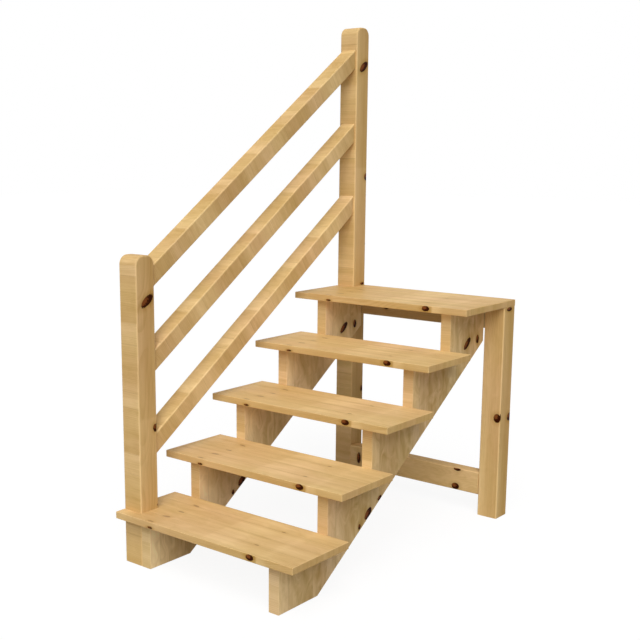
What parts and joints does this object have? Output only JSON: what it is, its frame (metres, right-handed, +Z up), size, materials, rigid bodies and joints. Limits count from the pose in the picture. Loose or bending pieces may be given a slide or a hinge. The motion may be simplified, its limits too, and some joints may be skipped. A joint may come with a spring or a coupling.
{
  "type": "wooden deck stairs",
  "caption": "Free-standing open wooden flight of deck stairs with sawtooth stringers, thick board treads, a sloping handrail on the left side and a legged rear frame.",
  "frame": {"origin": "middle of the footprint, on the floor", "axes": "+X across the flight to the climber's right, +Y up the flight from front to back, +Z up"},
  "size_m": [0.85, 1.47, 2.0685],
  "materials": {
    "treads": "planed glue-laminated spruce",
    "stringers": "planed glue-laminated spruce",
    "posts": "planed knotty spruce",
    "rails": "planed knotty spruce",
    "cross_members": "planed knotty spruce"
  },
  "bodies": {
    "root": {"tread_1": "treads", "tread_2": "treads", "tread_3": "treads", "tread_4": "treads", "tread_5": "treads", "left_stringer": "stringers", "right_stringer": "stringers", "newel_post": "posts", "rear_post": "posts", "rear_leg": "posts", "top_rail": "rails", "middle_rail": "rails", "bottom_rail": "rails", "upper_beam": "cross_members", "lower_stretcher": "cross_members"}
  },
  "joints": []
}
